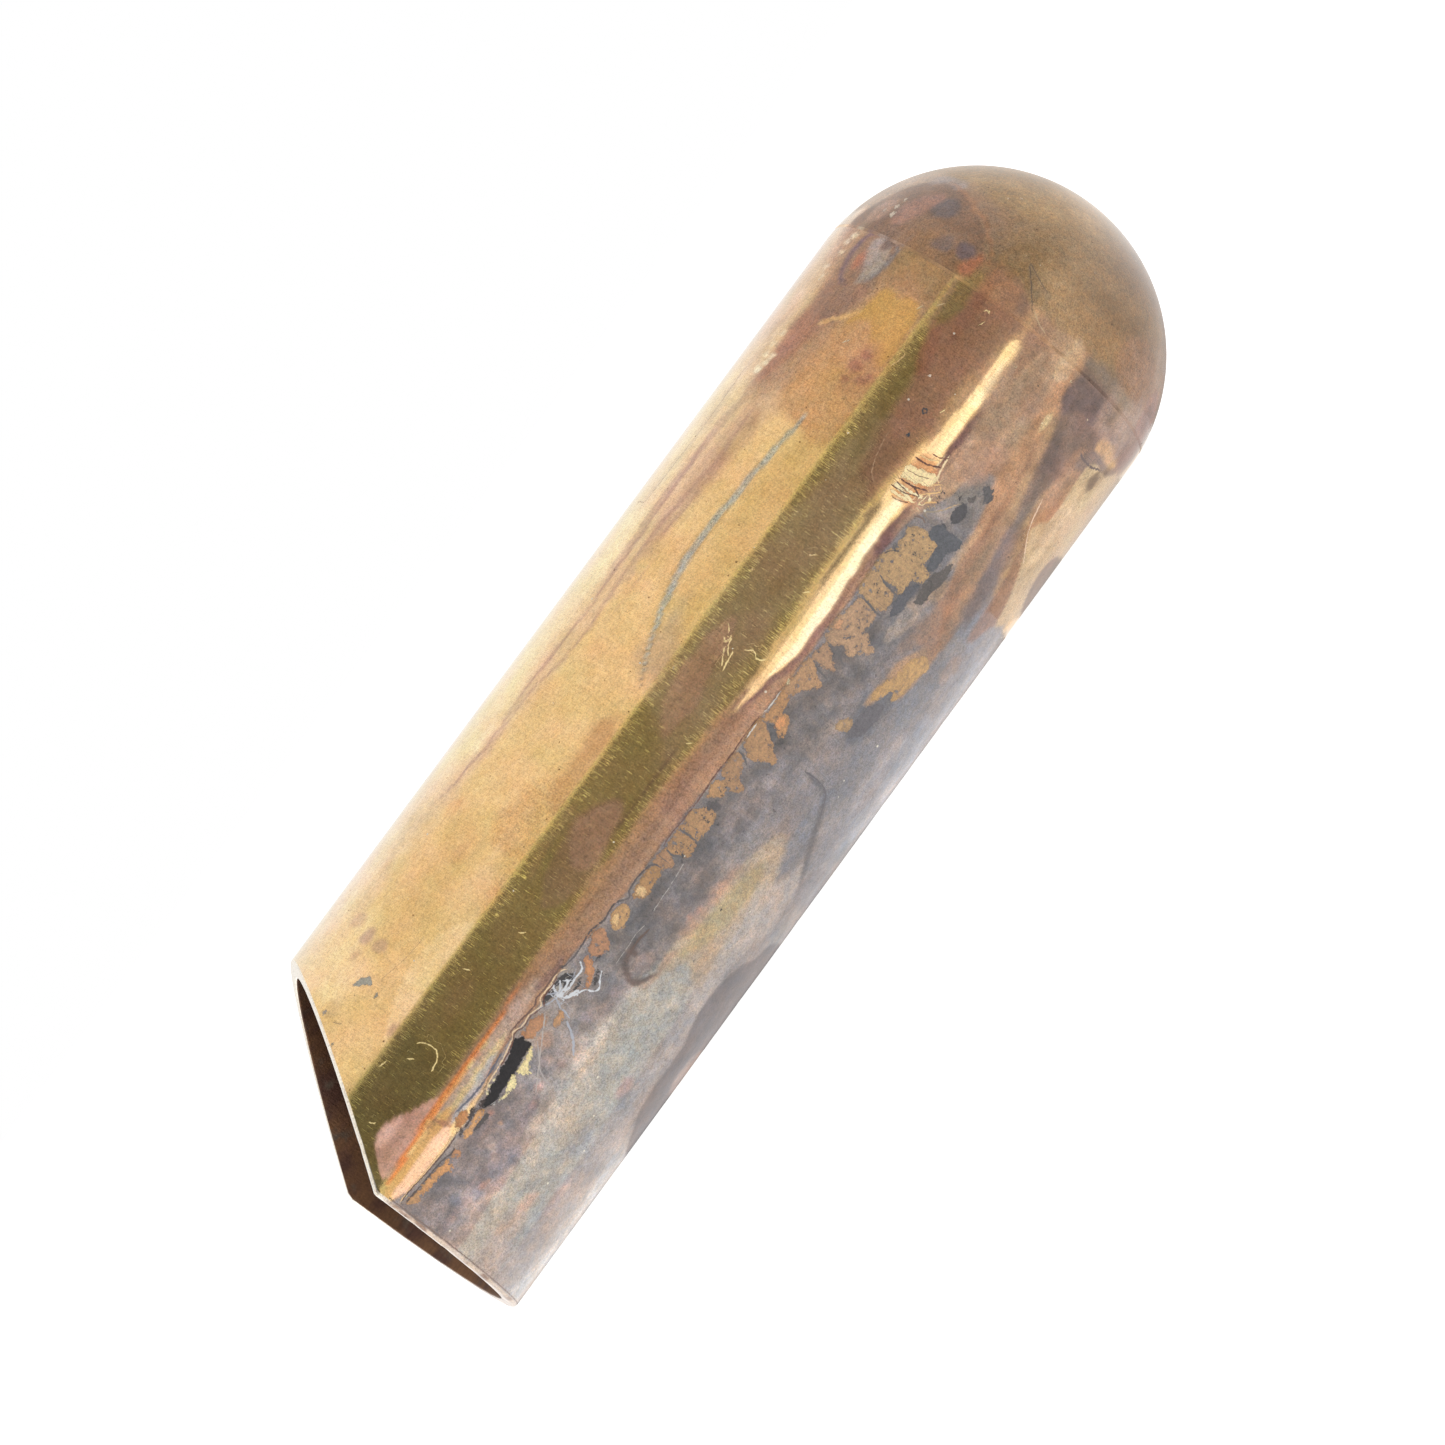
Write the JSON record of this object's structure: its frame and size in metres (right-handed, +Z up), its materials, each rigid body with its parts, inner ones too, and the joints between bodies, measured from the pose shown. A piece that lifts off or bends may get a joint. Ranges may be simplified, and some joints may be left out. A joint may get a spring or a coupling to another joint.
{
  "type": "guitar slide",
  "caption": "Round finger tube for sliding along guitar strings, closed by a domed cap at one end and cut back at a slant on one side of its open end for the knuckle.",
  "frame": {"origin": "bottom centre of the slide's box as it lies on its side, under the middle of its length and of its diameter", "axes": "+X along the tube's axis from the open end to the dome, +Z up towards the side that the relief cut makes shorter, +Y completes a right-handed frame; the tube's axis is 11 mm above the origin"},
  "size_m": [0.071, 0.022, 0.022],
  "materials": {
    "aged_brass": "unlacquered brass, polished by handling on top, with dark blotchy tarnish and a brown crust on one side",
    "aged_brass_cap": "evenly browned brass with a fine worn satin surface and a few darker stains",
    "silver_solder": "thin pale line of silver solder, dressed flush and dulled"
  },
  "bodies": {
    "root": {"slide_tube": "aged_brass", "dome_cap": "aged_brass_cap", "solder_seam": "silver_solder"}
  },
  "joints": []
}
